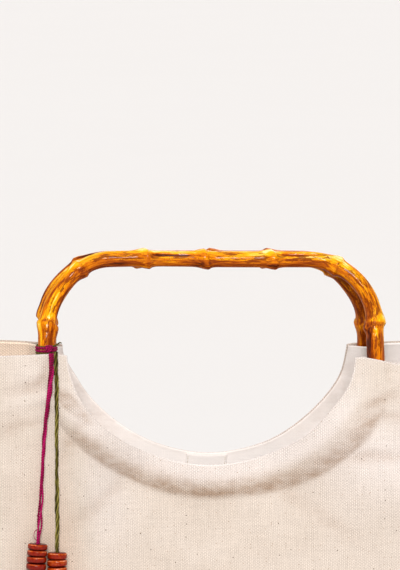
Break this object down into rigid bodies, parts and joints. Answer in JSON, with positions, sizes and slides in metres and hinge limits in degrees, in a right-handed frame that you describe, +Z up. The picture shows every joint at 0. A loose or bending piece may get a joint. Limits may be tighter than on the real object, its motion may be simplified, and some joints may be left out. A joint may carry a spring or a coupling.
{
  "type": "canvas handbag with bamboo handles",
  "caption": "Natural canvas handbag with a scooped mouth, arched bamboo cane handles held in rim pockets, and hanging cords with wooden beads tied to one handle leg.",
  "frame": {"origin": "centre of the base, on the surface that the bag stands on", "axes": "+Z up, +X to the right seen from the front, -Y out of the front panel"},
  "size_m": [0.3352, 0.1245, 0.3537],
  "materials": {
    "canvas": "unbleached plain-weave cotton canvas with seed specks",
    "bamboo": "glossy varnished amber cane with dark grooves",
    "magenta_cord": "twisted cotton yarn",
    "olive_cord": "twisted cotton yarn",
    "red_bead": "glossy dyed wood",
    "dark_bead": "glossy dark wood"
  },
  "bodies": {
    "root": {"front_panel": "canvas", "back_panel": "canvas", "gusset": "canvas", "front_facing": "canvas", "back_facing": "canvas", "inner_tab": "canvas", "front_handle": "bamboo", "back_handle": "bamboo", "olive_wrap_lower": "olive_cord", "magenta_wrap": "magenta_cord", "olive_wrap_upper": "olive_cord", "magenta_cord": "magenta_cord", "magenta_bead_1": "red_bead", "magenta_bead_2": "red_bead", "magenta_bead_3": "red_bead", "magenta_bead_4": "red_bead", "magenta_bead_5": "dark_bead", "magenta_end_knot": "magenta_cord", "olive_cord": "olive_cord", "olive_bead_1": "red_bead", "olive_bead_2": "red_bead", "olive_bead_3": "red_bead", "olive_bead_4": "red_bead", "olive_bead_5": "dark_bead", "olive_end_knot": "olive_cord"}
  },
  "joints": []
}
